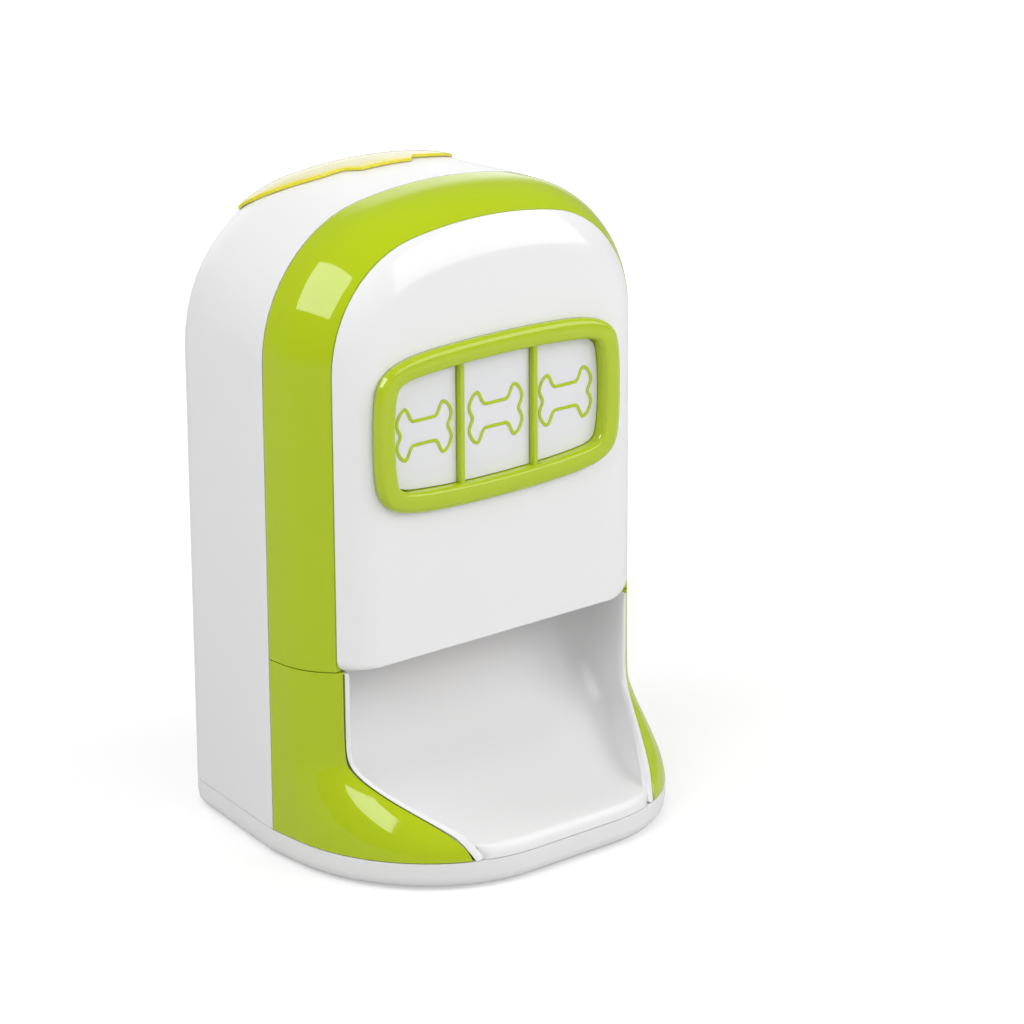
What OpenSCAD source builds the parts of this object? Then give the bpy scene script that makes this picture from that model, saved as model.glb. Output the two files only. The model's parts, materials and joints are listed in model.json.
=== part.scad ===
// Free-standing treat dispenser for dogs: an arched casing with three push keys in a framed
// window, a refill lid on the back of the dome and an open tray at the foot.
// A small motor turns a vaned rotor that meters dry treats from the hopper into the tray.
// Frame: +Z up, front towards -Y, origin on the table at the middle of the outline.

/* [Casing] */
// Width across the sides
casing_w = 194; // [188:1:206]
// Depth from the lip of the tray to the flat back
casing_d = 180; // [176:1:196]
// Height of the ridge of the dome above the table
ridge_h = 296; // [290:1:312]
// Wall of the moulded shells
wall = 2.4; // [1.8:0.1:3]
// Open seam between neighbouring shells
seam_gap = 0.4; // [0.2:0.1:0.8]
// Radius of the round front edge
edge_r = 33.2; // [31:0.2:36]
// Depth from the face of the front panel to its seam with the band
panel_rim = 8.6; // [7:0.2:11]
// Depth from the face of the front panel to the end of the coloured band
band_depth = 42.4; // [39:0.2:48]
// Depth from the face of the front panel to where the sides start to close in
taper_depth = 45.4; // [43:0.2:52]
// How far each side closes in for each millimetre towards the back
side_taper = 0.18; // [0.14:0.01:0.2]
// Radius of the shoulders of the arch
shoulder_r = 66; // [58:1:70]
// How much smaller the shoulders are at the back
shoulder_drop = 7; // [4:1:9]
// Radius of the crown of the arch
crown_r = 235; // [210:5:300]
// Radius of the upright back corners
back_r = 18; // [15:0.5:22]
// Radius of the round edge between the dome and the back
dome_r = 42; // [38:1:44]

/* [Base] */
// Height of the seam above the table
seam_z = 13.2; // [11:0.2:15]
// How far the rubber feet hold the base off the table
foot_h = 1.2; // [0.8:0.1:2]
// Radius of the rubber feet
foot_r = 8; // [6:0.5:10]
// Depth of the feet in the base
foot_seat = 1.2; // [0.6:0.1:1.6]
// Half-length of the straight front of the base
lip_flat = 25; // [20:1:34]
// Reach of the round front corners of the base, front to back
corner_reach = 77; // [70:1:82]
// Reach of the tray in front of the front panel
lip_reach = 51.6; // [46:0.2:56]
// Inset of the base's underside
base_inset = 4; // [2:0.5:5]

/* [Tray] */
// Height at which the cheeks start to flare
flare_top = 54; // [50:1:60]
// Height at which the flare is complete
flare_low = 14; // [13.6:0.2:20]
// Angle from the side at which the cheeks end, at the top
rim_top_deg = 53; // [49:1:57]
// Angle from the side at which the cheeks end, at the base
rim_low_deg = 66; // [62:1:70]
// Wall of the tray
tray_wall = 2; // [1.6:0.1:2.4]
// Fillet between floor and side walls of the tray
tray_fillet = 16; // [8:1:22]
// Reach of the curved floor, front to back
scoop_d = 90; // [86:1:94]
// Drop of the curved floor
scoop_h = 82; // [80:0.5:83]
// Height of the tray's throat above the table
throat_z = 102; // [99:1:103]
// Width of the rolled lip, front to back
lip_d = 4; // [3:0.5:6]
// Rise of the rolled lip above the seam
lip_rise = 6.4; // [5:0.2:8]

/* [Front panel] */
// Height of the lower edge of the front panel and of the band's parting line
parting_z = 94; // [90:1:100]
// Radius of the panel's lower corners
panel_corner_r = 7; // [4:0.5:9]

/* [Window] */
// Height of the middle of the window
window_z = 197; // [192:0.5:202]
// Width of the opening
window_w = 121.5; // [114:0.5:124]
// Height of the opening
window_h = 55.5; // [50:0.5:60]
// Width of the frame at the sides
frame_side = 10; // [8:0.5:12]
// Width of the frame at the top and bottom
frame_top = 9.6; // [8:0.2:11]
// How far the frame stands out of the panel
frame_proud = 4.6; // [3:0.2:6]
// Depth of the frame's collar behind the panel face
collar_d = 6; // [5:0.5:8]
// Wall of the frame's collar
collar_t = 3; // [2.4:0.2:4]
// Squareness of the corners of the opening
window_power = 14; // [9:1:18]
// Squareness of the outer corners of the frame
frame_power = 6.5; // [5:0.5:9]
// How far the top and bottom of the window fall off towards the corners
window_sag = 3; // [1:0.5:5]
// How far the sides of the window fall in towards the corners
side_sag = 2.3; // [1:0.1:4]
// Width of the two bars
bar_w = 2.6; // [2.2:0.1:5]
// How far the bars stand out of the panel face
bar_proud = 1.6; // [1:0.1:2.4]
// Distance of each bar from the middle
bar_x = 21.2; // [19:0.2:24]

/* [Keys] */
// Gap around each key
key_gap = 0.4; // [0.3:0.05:0.6]
// How far a key sinks below the panel face at rest
key_sink = 1.2; // [0.4:0.1:2]
// Travel of a key
key_travel = 2.5; // [1.5:0.1:3]
// Thickness of a key's flange
key_flange = 1.6; // [1.2:0.1:2]
// How far a key's flange reaches behind the frame
key_catch = 1.4; // [1:0.1:1.7]
// Distance from a key's flange to the key board
stem_len = 9; // [8:0.5:11]
// Radius of a key's stem
stem_r = 4; // [3:0.5:5]
// Thickness of the printed boards
board_t = 1.6; // [1:0.1:2]
// Length of a bone inlay
bone_w = 31.8; // [26:0.2:33]
// Height of a bone inlay
bone_h = 23.6; // [20:0.2:28]
// Width of a bone inlay's line
bone_line = 1.5; // [1.2:0.1:2]
// How far a bone inlay stands out of its key
bone_proud = 0.3; // [0.2:0.1:0.4]

/* [Lid] */
// Width of the lid
lid_w = 114; // [108:1:120]
// Thickness of the lid
lid_t = 1.5; // [1.4:0.1:2]
// Gap between the lid and the dome
lid_gap = 0.3; // [0.3:0.1:0.6]
// Distance of the lid's front edge from the back of the casing
lid_reach = 48; // [44:1:50]
// Distance of the lid's rear edge from the back of the casing
lid_tail = 9; // [8:0.5:12]
// Half-width of the lift tab in the middle of the lid's front edge
tab_half = 17; // [14:1:22]
// Reach of the lift tab in front of the lid's front edge
tab_d = 6; // [4:0.5:8]
// Radius of the hinge pin
pin_r = 1.5; // [1.2:0.1:1.8]
// Radius of the lid's knuckles
knuckle_r = 3; // [2.6:0.1:3.4]
// Angle of the hinge down the round back edge
hinge_deg = 75; // [72:1:78]

/* [Hopper and rotor] */
// Height of the rotor's axis above the table
rotor_z = 132; // [130:0.5:136]
// Distance of the rotor's axis behind the panel face
rotor_set = 47.4; // [45:0.2:51]
// Radius of the rotor
rotor_r = 25; // [22:0.5:26]
// Half-width between the side plates
plate_x = 32; // [28:1:36]
// Thickness of the side plates
plate_t = 3; // [2.4:0.2:4]
// Radius of the rotor's shaft
shaft_r = 3; // [2.5:0.1:3.5]
// Running clearance of shafts and pins
run_gap = 0.05; // [0.02:0.01:0.1]
// Clearance between the rotor and its trough
trough_gap = 0.8; // [0.5:0.1:1.2]
// Thickness of the trough and the guard
trough_t = 2.2; // [1.6:0.1:2.6]
// Number of vanes
vane_n = 6; // [4:1:8]
// Thickness of a vane
vane_t = 2.4; // [1.8:0.1:3]
// Half-width of the hopper's rim
hopper_x = 64; // [56:1:66]
// Height of the hopper's rim above the table
hopper_top = 252; // [240:1:256]
// Wall of the hopper
hopper_t = 2; // [1.6:0.1:2.4]

/* [Drive] */
// Module of the gears
gear_m = 1; // [0.9:0.05:1.1]
// Teeth of the rotor gear
gear_n = 42; // [38:2:44]
// Teeth of the motor pinion
pinion_n = 14; // [14:2:16]
// Width of the gears
gear_w = 6; // [4:0.5:7]
// Angular slack of each tooth flank
gear_slack = 0.25; // [0.15:0.05:0.4]
// Radius of the motor can
motor_r = 12; // [10:0.5:13]
// Gap between the motor can and the casing's side
motor_gap = 1; // [0.5:0.1:2]

/* [Power] */
// Diameter of a battery cell
cell_d = 14.5; // [14.5:0.1:14.5]
// Length of a battery cell
cell_len = 50.5; // [50.5:0.1:50.5]
// Number of cells
cell_n = 4; // [4:1:4]
// Wall of the battery box
box_t = 2; // [1.6:0.1:2.4]
// Travel of the power switch's knob
knob_travel = 5; // [4:0.5:6]

/* [Hidden] */
$fn = 48;

white = "#eeeeec";
lime = "#b4cf22";
yellow = "#f0e23a";
eps = 0.01;
half_w = casing_w / 2;
lip_y = -casing_d / 2;
back_y = casing_d / 2;
front_y = lip_y + lip_reach;
rim_y = front_y + panel_rim;
band_y = front_y + band_depth;
taper_y = front_y + taper_depth;
edge_y = front_y + edge_r;
tail_y = back_y - back_r;
crest_y = back_y - dome_r;
crest_z = ridge_h - dome_r;
half_gap = seam_gap / 2;
floor_z = foot_h + wall;
shoulder_n = 12;
crown_n = 10;

// Inset of a round edge of radius r at distance q past its start, for a skin set in by d
function round_in(r, q, d) = q <= 0 ? d : r - sqrt(max(0, pow(r - d, 2) - q * q));
function nose(y, d) = round_in(edge_r, edge_y - y, d);
// How far each side has closed in at depth y
function narrow(y) = side_taper * max(0, y - taper_y);
// Half-width, ridge height, shoulder radius and crown radius of the skin at depth y, set in by d
function half_at(y, d) = half_w - narrow(y) - (y < edge_y ? nose(y, d) : round_in(back_r, y - tail_y, d));
function ridge_at(y, d) = ridge_h - (y < edge_y ? nose(y, d) : round_in(dome_r, y - crest_y, d));
function shoulder_at(y, d) = y < edge_y
    ? shoulder_r - nose(y, d)
    : min(shoulder_r - shoulder_drop * max(0, y - taper_y) / (back_y - taper_y) - d, half_at(y, d) - 3);
function crown_at(y, d) = crown_r - (y < edge_y ? nose(y, d) : d);
// Distance of the shoulders' centres from the middle, and their height over the crown's centre
function shoulder_x(y, d) = half_at(y, d) - shoulder_at(y, d);
function shoulder_up(y, d) = sqrt(pow(crown_at(y, d) - shoulder_at(y, d), 2) - pow(shoulder_x(y, d), 2));

// Arch of the casing at depth y, from the left foot at z0 over the crown to the right foot
function arch(y, d, z0) =
    let (c = shoulder_x(y, d), up = shoulder_up(y, d), tilt = atan2(c, up))
    let (r = shoulder_at(y, d), big = crown_at(y, d), low = ridge_at(y, d) - big)
    concat(
        [[-c - r, y, z0]],
        [for (i = [0:shoulder_n]) let (t = 180 - (90 - tilt) * i / shoulder_n)
            [-c + r * cos(t), y, low + up + r * sin(t)]],
        [for (i = [1:crown_n - 1]) let (t = 90 + tilt - 2 * tilt * i / crown_n)
            [big * cos(t), y, low + big * sin(t)]],
        [for (i = [0:shoulder_n]) let (t = (90 - tilt) * (1 - i / shoulder_n))
            [c + r * cos(t), y, low + up + r * sin(t)]],
        [[c + r, y, z0]]
    );

// Height of the dome over (x, y), moved out by off
function dome(x, y, off) =
    let (c = shoulder_x(y, -off), up = shoulder_up(y, -off), r = shoulder_at(y, -off))
    let (big = crown_at(y, -off), low = ridge_at(y, -off) - big)
    abs(x) <= big * sin(atan2(c, up))
        ? low + sqrt(big * big - x * x)
        : low + up + sqrt(max(0, r * r - pow(abs(x) - c, 2)));

function reversed(v) = [for (i = [len(v) - 1:-1:0]) v[i]];
function mirrored(v) = [for (p = reversed(v)) concat([-p[0]], [for (i = [1:len(p) - 1]) p[i]])];
function mix(a, b, t) = a + (b - a) * t;
function quad(a, b, c, d) = [[a, b, c], [a, c, d]];

// Closed wall between two grids of points with equal rows and columns.
// loop joins the last column to the first, and capped closes the last row.
module skin(outer, inner, loop = false, capped = false) {
    rows = len(outer);
    cols = len(outer[0]);
    n = rows * cols;
    last = loop ? cols - 1 : cols - 2;
    end = (rows - 1) * cols;
    surfaces = [for (r = [0:rows - 2], c = [0:last])
        let (k = (c + 1) % cols, a = r * cols + c, b = r * cols + k)
        each concat(
            quad(a, a + cols, b + cols, b),
            quad(n + b, n + b + cols, n + a + cols, n + a)
        )];
    first_rim = [for (c = [0:last]) let (k = (c + 1) % cols) each quad(c, k, n + k, n + c)];
    last_rim = [for (c = [0:last]) let (k = (c + 1) % cols)
        each quad(n + end + c, n + end + k, end + k, end + c)];
    sides = [for (r = [0:rows - 2]) let (a = r * cols, b = a + cols, j = a + cols - 1, k = j + cols)
        each concat(quad(a, n + a, n + b, b), quad(n + j, j, k, n + k))];
    caps = [[for (c = [cols - 1:-1:0]) end + c], [for (c = [0:cols - 1]) n + end + c]];
    sill = quad(n + end, n + end + cols - 1, end + cols - 1, end);
    polyhedron(
        points = concat([for (row = outer) each row], [for (row = inner) each row]),
        faces = concat(
            surfaces, first_rim,
            capped ? caps : last_rim,
            loop ? [] : sides,
            capped && !loop ? sill : []
        ),
        convexity = 6
    );
}

// Ring whose closed section, one row for each step, runs round a closed path
module ring(sections) {
    rows = len(sections);
    cols = len(sections[0]);
    polyhedron(
        points = [for (row = sections) each row],
        faces = [for (r = [0:rows - 1], c = [0:cols - 1])
            let (q = (r + 1) % rows, k = (c + 1) % cols)
            each quad(r * cols + c, q * cols + c, q * cols + k, r * cols + k)],
        convexity = 6
    );
}

// Prisms and rods along the axes
module along_y(y0, y1) {
    translate([0, y1, 0]) rotate([90, 0, 0]) linear_extrude(y1 - y0) children();
}
module along_x(x0, x1) {
    translate([x0, 0, 0]) rotate([90, 0, 90]) linear_extrude(x1 - x0) children();
}
module rod_x(x0, x1, y, z, r) {
    translate([x0, y, z]) rotate([0, 90, 0]) cylinder(h = x1 - x0, r = r);
}
module rod_y(x, y0, y1, z, r) {
    translate([x, y1, z]) rotate([90, 0, 0]) cylinder(h = y1 - y0, r = r);
}
module block(low, high) {
    translate(low) cube(high - low);
}

// Outline of the base: the left side from the front to the back, inset by d
corner_n = 14;
corner_y = lip_y + corner_reach;
function base_left(d) = concat(
    [for (i = [0:corner_n]) let (t = 90 - 90 * i / corner_n)
        [-lip_flat - (half_w - lip_flat - d) * cos(t), corner_y - (corner_reach - d) * sin(t)]],
    [[d - half_w, taper_y]],
    [for (t = [0:15:90]) let (y = tail_y + (back_r - d) * sin(t))
        [-half_at(y, d), y]]
);
function base_loop(d, z) = [for (p = concat(base_left(d), mirrored(base_left(d)))) [p[0], p[1], z]];
// Front of the base outline at x
function lip_front(x) =
    corner_y - corner_reach * sqrt(1 - pow(max(0, abs(x) - lip_flat) / (half_w - lip_flat), 2));

base_roll = [[0, 1], [0, 0.45], [0.13, 0.2], [0.45, 0.06], [1, 0]];
foot_spots = [[62, lip_y + 34], [46, back_y - 24]];
screw_spots = [[half_w - 17, taper_y + 6], [half_w - 30, tail_y - 4]];
boss_r = 5.5;
boss_h = 26;
screw_r = 2;
screw_head_r = 3.6;
screw_head_h = 0.6;
hole_gap = 0.3;
boss_rib = 3;
foot_fit = 0.1;

module at_spots(spots) {
    for (s = spots, side = [-1, 1]) translate([side * s[0], s[1], 0]) children();
}

// Lower tray of the casing, with seats for the feet and countersunk screw holes
module base_pan() {
    top = seam_z - half_gap;
    color(white) difference() {
        skin(
            [for (k = base_roll) base_loop(base_inset * k[0], foot_h + (top - foot_h) * k[1])],
            [for (k = base_roll)
                base_loop(wall + base_inset * k[0], floor_z + (top - floor_z) * k[1])],
            loop = true, capped = true
        );
        at_spots(foot_spots) translate([0, 0, -eps]) cylinder(h = foot_h + foot_seat + eps, r = foot_r);
        at_spots(screw_spots) translate([0, 0, -eps]) cylinder(h = seam_z, r = screw_r + hole_gap);
    }
    color(white) at_spots(screw_spots) difference() {
        translate([0, 0, floor_z - 1]) cylinder(h = seam_z - floor_z + 1 - half_gap, r = boss_r);
        cylinder(h = seam_z, r = screw_r + hole_gap);
    }
}

// Rubber feet pressed into their seats
module rubber_feet() {
    color("#4a4a4a") at_spots(foot_spots) cylinder(h = foot_h + foot_seat, r = foot_r - foot_fit);
}

// Screws that hold the base pan to the rear shell
module base_screws() {
    color("silver") at_spots(screw_spots) translate([0, 0, foot_h - screw_head_h]) {
        cylinder(h = screw_head_h, r = screw_head_r);
        cylinder(h = boss_h, r = screw_r);
    }
}

// Hinge of the lid: axis on the round edge of the dome, sunk below the surface
hinge_sink = 2.5;
hinge_y = crest_y + (dome_r - hinge_sink) * sin(hinge_deg);
hinge_z = crest_z + (dome_r - hinge_sink) * cos(hinge_deg);
arm_x0 = 7.5;
arm_x1 = 18;
arm_gap = 0.3;
arm_block = 3;
pocket_w = arm_x1 - arm_x0 + 2 * arm_gap;
pocket_r = knuckle_r + 2.4;
lug_x = 25;
lug_d = 9;
lug_bite = 0.8;
module at_hinge() {
    translate([0, hinge_y, hinge_z]) rotate([-hinge_deg, 0, 0]) children();
}

// Fill mouth under the lid, set in from the lid's rim
fill_inset = 13;
fill_front = 8;
fill_back = 16;
fill_x = lid_w / 2 - fill_inset;
fill_y0 = back_y - lid_reach + fill_front;
fill_y1 = back_y - fill_back;
// Battery bay: the box's outline, and the door and stakes that follow from it
cell_gap = 1.5;
cell_pitch = cell_d + cell_gap;
contact_room = 6;
box_gap = 0.3;
box_rise = 8;
box_x = cell_len / 2 + contact_room;
box_y1 = back_y - wall - box_gap;
box_y0 = box_y1 - cell_d - box_t - cell_gap;
box_z0 = seam_z + box_rise;
box_z1 = box_z0 + cell_n * cell_pitch + 2 * box_t;
door_lap = 2;
door_head = 10;
door_screw_rise = 4;
door_x = box_x + box_t + door_lap;
door_z0 = box_z0 - door_lap;
door_z1 = box_z1 + door_head;
door_screw_z = box_z1 + door_screw_rise;
door_gap = 0.3;
tab_t = 3;
stake_set = 6;
stake_x = door_x + stake_set;
stake_z = (box_z0 + box_z1) / 2;
stake_r = 1.5;
switch_rise = 18;
switch_z = door_z1 + switch_rise;
knob_x = 4;
knob_z = 3;
slot_gap = 0.5;

// Rear shell: sides, dome and back in one moulding
module rear_shell() {
    spans = concat([band_y + half_gap, taper_y + 10], [for (i = [0:3]) mix(crest_y, tail_y, i / 3)]);
    turns = [15:15:90];
    foot = seam_z + half_gap;
    function rows(d) = concat(
        [for (y = spans) arch(y, d, foot)],
        [for (t = turns) arch(tail_y + (back_r - d) * sin(t), d, foot)]
    );
    color(white) difference() {
        union() {
            skin(rows(0), rows(wall), capped = true);
            at_hinge() translate([-lug_x, -lug_d, -lug_d]) cube([2 * lug_x, 2 * lug_d, lug_d + lug_bite]);
            at_spots(screw_spots) translate([0, 0, seam_z + half_gap]) cylinder(h = boss_h, r = boss_r);
            for (s = screw_spots, side = [-1, 1])
                translate([side * s[0], s[1], seam_z + half_gap])
                    rotate(side > 0 ? 0 : 180)
                        translate([0, -boss_rib / 2, 0])
                            cube([half_at(s[1], wall / 2) - s[0], boss_rib, boss_h]);
            for (side = [-1, 1])
                rod_y(side * stake_x, box_y1 - tab_t - 1.5, back_y - wall / 2, stake_z, stake_r);
        }
        block([-fill_x, fill_y0, hopper_top], [fill_x, fill_y1, ridge_h + 1]);
        block([-door_x, back_y - wall - 1, door_z0], [door_x, back_y + 1, door_z1]);
        block([-knob_x - knob_travel / 2 - slot_gap, back_y - wall - 1, switch_z - knob_z - slot_gap],
            [knob_x + knob_travel / 2 + slot_gap, back_y + 1, switch_z + knob_z + slot_gap]);
        at_hinge() for (side = [0, 1]) mirror([side, 0, 0]) translate([arm_x0 - arm_gap, 0, 0]) {
            rotate([0, 90, 0]) cylinder(h = pocket_w, r = pocket_r);
            translate([0, -pocket_r - arm_block, -0.5]) cube([pocket_w, pocket_r + arm_block, lug_d]);
        }
        rod_x(-lug_x + 1, lug_x - 1, hinge_y, hinge_z, pin_r + run_gap);
        at_spots(screw_spots) cylinder(h = seam_z + boss_h - 2, r = screw_r + run_gap);
    }
}

// Coloured band around the upper casing
module green_arch() {
    foot = parting_z + half_gap;
    start = acos((edge_r - panel_rim - half_gap) / edge_r);
    steps = [for (i = [0:6]) edge_y - edge_r * cos(mix(start, 90, i / 6))];
    depths = concat(steps, [band_y - half_gap]);
    color(lime) skin(
        [for (y = depths) arch(y, 0, foot)],
        [for (y = depths) arch(y, wall, foot)]
    );
}

// Flare of the lower casing, from 0 at the top to 1 at the base
function flare(z) =
    let (t = max(0, min(1, (flare_top - z) / (flare_top - flare_low)))) t * t * (3 - 2 * t);
function rim_deg(z) = mix(rim_top_deg, rim_low_deg, flare(z));
// Point of the flared corner at height z, at an angle from the side, for a skin set in by d
function corner(z, deg, d) =
    let (s = flare(z), ax = mix(edge_r, half_w - lip_flat, s), by = mix(edge_r, corner_reach, s))
    [-(half_w - ax) - (ax - d) * cos(deg), front_y - lip_reach * s + by - (by - d) * sin(deg), z];

cheek_n = 12;
// Lower side of the band: flares out into the base beside the tray
module cheek() {
    foot = seam_z + half_gap;
    head = parting_z - half_gap;
    heights = concat([foot], [for (i = [0:9]) mix(flare_low, flare_top, i / 9)], [head]);
    function rows(d) = [for (z = heights) concat(
        [[d - half_w, band_y - half_gap, z]],
        [for (i = [0:cheek_n]) corner(z, rim_deg(z) * i / cheek_n, d)]
    )];
    color(lime) skin(rows(0), rows(wall));
}
module left_cheek() {
    cheek();
}
module right_cheek() {
    mirror([1, 0, 0]) cheek();
}

// Closed outline of the front panel at depth y, from right to left over the crown
function panel_loop(y, d, low, r) =
    let (a = half_at(y, d), ends = [for (i = [0:3]) i * 22.5])
    concat(
        reversed(arch(y, d, low + r)),
        [for (t = ends) [-a + r - r * cos(t + 22.5), y, low + r - r * sin(t + 22.5)]],
        [for (t = ends) [a - r + r * sin(t), y, low + r - r * cos(t)]]
    );
panel_n = 6;
module front_panel() {
    function rows(d) =
        let (r = edge_r - d, start = acos((edge_r - panel_rim + half_gap) / r))
        [for (i = [0:panel_n]) let (t = start * (1 - i / panel_n))
            panel_loop(edge_y - r * cos(t), d, parting_z + half_gap + d + pow(i / panel_n, 4),
                0.8 + panel_corner_r * sin(t) * r / edge_r)];
    color(white) difference() {
        skin(rows(0), rows(wall), loop = true, capped = true);
        along_y(front_y - 1, front_y + wall + 1) window_shape(collar_t + 0.3);
    }
}

// Window outline, moved out by e
outline_n = 120;
frame_ratio = frame_top / frame_side;
function window_point(e, t) =
    let (a = window_w / 2 + e, b = window_h / 2 + e * frame_ratio)
    let (n = mix(window_power, frame_power, max(0, e) / frame_side))
    let (r = pow(pow(abs(cos(t)), n) + pow(abs(sin(t)), n), -1 / n), u = r * cos(t), v = r * sin(t))
    [u * (a - side_sag * v * v), window_z + v * (b - window_sag * u * u)];
module window_shape(e) {
    polygon([for (i = [0:outline_n - 1]) window_point(e, 360 * i / outline_n)]);
}

// Frame with a round-edged face in front of the panel, a collar through it and two bars
bar_round = 0.6;
module window_frame() {
    bead = [
        [0, collar_d], [0, -0.55 * frame_proud], [0.06 * frame_side, -0.84 * frame_proud],
        [0.18 * frame_side, -frame_proud], [0.7 * frame_side, -0.98 * frame_proud],
        [0.9 * frame_side, -0.8 * frame_proud], [frame_side, -0.4 * frame_proud],
        [frame_side, -eps], [collar_t, -eps], [collar_t, collar_d]
    ];
    color(lime) ring([for (i = [0:outline_n - 1]) [for (p = bead)
        let (w = window_point(p[0], 360 * i / outline_n)) [w[0], front_y + p[1], w[1]]]]);
    color(lime) for (side = [-1, 1]) intersection() {
        along_y(front_y - frame_proud, front_y + collar_d) window_shape(collar_t / 2);
        translate([side * bar_x, front_y, 0]) linear_extrude(ridge_h)
            offset(r = bar_round) offset(delta = -bar_round)
                translate([-bar_w / 2, -bar_proud]) square([bar_w, bar_proud + collar_d]);
    }
}

// Tray: rows of points from the throat down the curved floor to the rolled lip.
// out is 1 for the underside and 0 for the face
scoop_set = 10;
scoop_y = lip_y + scoop_set;
scoop_z = 100;
scoop_low = 30;
throat_steps = concat(
    [throat_z, parting_z],
    [for (i = [0:8]) mix(parting_z - 1, scoop_low, pow(i / 8, 0.8))]
);
lip_steps = [[0, 26.6], [30, 24.7], [60, 22.2], [90, seam_z + half_gap]];
fillet_n = 5;
tray_half_n = 6;
// Half of a tray row from the left rim to the middle
function tray_half(rim, side, floor_y, floor_h) =
    let (h = max(0.02, norm([side[1] - floor_y(side[0]), side[2] - floor_h])), r = min(tray_fillet, 0.8 * h))
    concat(
        [rim, side],
        [for (i = [0:fillet_n]) let (t = 90 * i / fillet_n, f = 1 - (r / h) * (1 - sin(t)))
            let (x = side[0] + r * (1 - cos(t)))
            [x, mix(side[1], floor_y(x), f), mix(side[2], floor_h, f)]],
        [for (i = [1:tray_half_n]) let (x = (side[0] + r) * (1 - i / tray_half_n)) [x, floor_y(x), floor_h]]
    );
function tray_row(half) = concat(
    half,
    [for (i = [len(half) - 2:-1:0]) [-half[i][0], half[i][1], half[i][2]]]
);
// Rim of the tray beside the cheek, stepped back where it rises behind the front panel
throat_step = [3, edge_r - panel_rim - 8, 0];
under_deg = 1.3;
face_deg = 5;
function tray_rim(z, out, d) = corner(z, rim_deg(z) + (out == 1 ? under_deg : face_deg), d)
    + (z > parting_z - 1 ? throat_step : [0, 0, 0]);
// Side of the tray, just behind the inside of the cheek
function tray_side(z, out) = tray_rim(z, out, wall + seam_gap);
function scoop_row(z, out) =
    let (side = tray_side(z, out))
    let (t = atan2(scoop_z - z, side[1] - scoop_y))
    let (reach = 1 / norm([cos(t) / scoop_d, sin(t) / scoop_h]) + out * tray_wall)
    let (y = scoop_y + reach * cos(t), floor_h = scoop_z - reach * sin(t))
    tray_row(tray_half(tray_rim(z, out, 0), side, function (x) y, floor_h));
function lip_row(step, out) =
    let (t = step[0], z = step[1])
    let (d = lip_d - (lip_d - out * tray_wall) * sin(t))
    let (floor_h = seam_z + half_gap + (lip_rise - out * tray_wall) * cos(t))
    tray_row(tray_half(tray_rim(z, out, 0), tray_side(z, out), function (x) lip_front(x) + d, floor_h));
module treat_chute() {
    function rows(out) = concat(
        [for (z = throat_steps) scoop_row(z, out)],
        [for (step = lip_steps) lip_row(step, out)]
    );
    color(white) skin(rows(1), rows(0));
}

// Lid: front edge with a lift tab, round corners and two hinge arms
lid_cols = 40;
lid_rows = 8;
lid_start = back_y - lid_reach;
lid_end = back_y - lid_tail;
tab_fade = 4;
arm_n = 8;
arm_stop = 6;
arm_rise = lid_gap + 0.3;
arm_t = 1.6;
arm_start = asin((lid_end - crest_y) / (dome_r + lid_gap)) - 6;
lid_corner_w = 29;
lid_corner_front = 24;
lid_corner_back = 12;
corner_from = lid_w / 2 - lid_corner_w;
function lid_turn(x) =
    let (c = max(0, (abs(x) - corner_from) / (lid_w / 2 - corner_from + 0.5))) 1 - sqrt(1 - c * c);
function lid_tab(x) =
    let (t = max(0, min(1, (tab_half - abs(x)) / tab_fade + 0.5))) tab_d * t * t * (3 - 2 * t);
function lid_edge(x) = lid_start - lid_tab(x) + lid_corner_front * lid_turn(x);
function lid_back(x) = lid_end - lid_corner_back * lid_turn(x);
module hopper_lid() {
    function rows(off) = [for (r = [0:lid_rows]) [for (i = [0:lid_cols])
        let (x = lid_w * (i / lid_cols - 0.5), y = mix(lid_edge(x), lid_back(x), r / lid_rows))
        [x, y, dome(x, y, off)]]];
    color(yellow) skin(rows(lid_gap + lid_t), rows(lid_gap));
    color(yellow) for (side = [0, 1]) mirror([side, 0, 0]) along_x(arm_x0, arm_x1) hinge_arm();
}
// Side outline of a hinge arm, over the round edge of the dome to its knuckle
module hinge_arm() {
    low = dome_r + arm_rise;
    high = low + arm_t;
    turns = [for (i = [0:arm_n]) mix(arm_start, hinge_deg - arm_stop, i / arm_n)];
    difference() {
        union() {
            translate([crest_y, crest_z]) polygon(concat(
                [for (t = turns) low * [sin(t), cos(t)]],
                [for (t = reversed(turns)) high * [sin(t), cos(t)]]
            ));
            translate([hinge_y, hinge_z]) {
                rotate(-hinge_deg) translate([-knuckle_r - arm_block, 0])
                    square([knuckle_r + arm_block, hinge_sink + arm_rise + arm_t / 2]);
                circle(r = knuckle_r);
            }
        }
        translate([hinge_y, hinge_z]) circle(r = pin_r + run_gap);
    }
}

module lid_hinge_pin() {
    color("silver") rod_x(-lug_x + 1.5, lug_x - 1.5, hinge_y, hinge_z, pin_r);
}

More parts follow.
